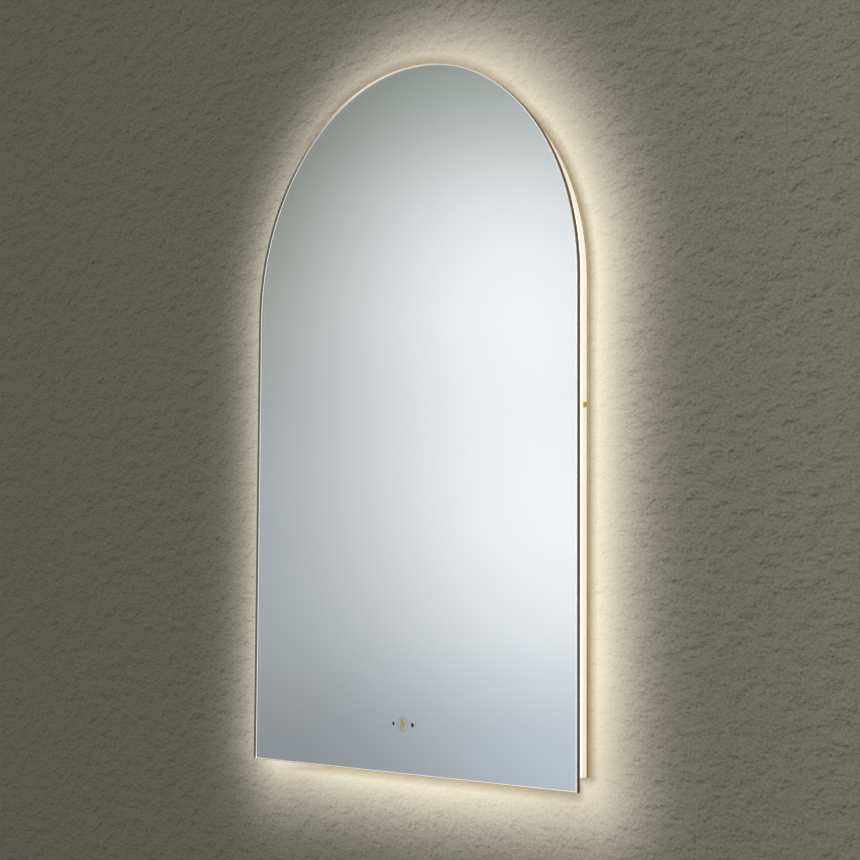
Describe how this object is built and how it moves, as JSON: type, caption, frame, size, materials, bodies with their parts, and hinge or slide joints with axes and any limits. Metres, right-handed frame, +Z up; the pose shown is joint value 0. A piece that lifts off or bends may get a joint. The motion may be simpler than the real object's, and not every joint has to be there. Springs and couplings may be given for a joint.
{
  "type": "lighted bathroom mirror",
  "caption": "Frameless arched wall mirror with a lit opal band behind the pane, wave-switch marks low on the face, and a cleat on the back that hangs on a wall rail.",
  "frame": {"origin": "middle of the two wall fixings, on the face of the wall", "axes": "+X along the wall to the viewer's right, +Y into the wall (the pane faces -Y), +Z up"},
  "size_m": [0.6, 0.04, 0.8999],
  "materials": {
    "clear_glass": "clear float glass, polished arris",
    "mirror_coat": "silver coat",
    "white_film": "white polyester film",
    "grey_foam": "foam tape",
    "opal_acrylic": "opal, satin",
    "white_aluminium": "warm white powder coat on aluminium",
    "tan_aluminium": "champagne anodised",
    "brass": "satin brass",
    "bare_aluminium": "mill finish",
    "zinc_steel": "zinc plated",
    "grey_steel": "light grey coated steel",
    "white_circuit": "white strip",
    "warm_chip": "phosphor",
    "white_plastic": "moulded",
    "green_circuit": "solder mask",
    "black_rubber": "moulded",
    "black_plastic": "moulded",
    "cream_plastic": "moulded",
    "heater_film": "heating film",
    "dark_window": "infrared window",
    "gold_guide": "gold tinted acrylic",
    "white_lead": "white sheath",
    "grey_lead": "grey sheath",
    "green_lead": "green and yellow sheath"
  },
  "bodies": {
    "wall": {"wall_rail": "zinc_steel"},
    "mirror": {"mirror_glass": "clear_glass", "silvering": "mirror_coat", "safety_film": "white_film", "frame_bond_tape": "grey_foam", "sensor_gasket": "grey_foam", "diffuser_arch": "opal_acrylic", "diffuser_base": "opal_acrylic", "channel_arch": "white_aluminium", "channel_base": "white_aluminium", "rim_arch": "tan_aluminium", "rim_base": "tan_aluminium", "side_screws": "brass", "terminal_screws": "brass", "earth_stud": "brass", "earth_nuts": "brass", "earth_tag": "brass", "corner_brackets": "bare_aluminium", "corner_rivets": "bare_aluminium", "hanger_rivets": "bare_aluminium", "junction_rivets": "bare_aluminium", "cross_brace": "zinc_steel", "hanger_rail": "zinc_steel", "driver_screws": "zinc_steel", "back_panel_screws": "zinc_steel", "cover_screws": "zinc_steel", "back_panel": "grey_steel", "terminal_cover": "grey_steel", "led_strip": "white_circuit", "led_chips": "warm_chip", "indicator_led": "warm_chip", "driver_case": "white_plastic", "driver_lid": "white_plastic", "junction_box": "white_plastic", "lead_clips": "white_plastic", "driver_board": "green_circuit", "sensor_board": "green_circuit", "cable_grommet": "black_rubber", "wall_bumpers": "black_rubber", "sensor_housing": "black_plastic", "demister_terminal": "black_plastic", "terminal_block": "cream_plastic", "demister_pad": "heater_film", "emitter_window": "dark_window", "receiver_window": "dark_window", "ir_emitter": "dark_window", "ir_receiver": "dark_window", "icon_light_guide": "gold_guide", "driver_mains_lead": "white_lead", "led_lead": "white_lead", "demister_lead": "white_lead", "sensor_lead": "grey_lead", "earth_lead": "green_lead"}
  },
  "joints": [
    {"name": "lift_off", "type": "slide", "parent": "wall", "child": "mirror", "axis": [0, 0, 1], "range_m": [0, 0.015]}
  ]
}
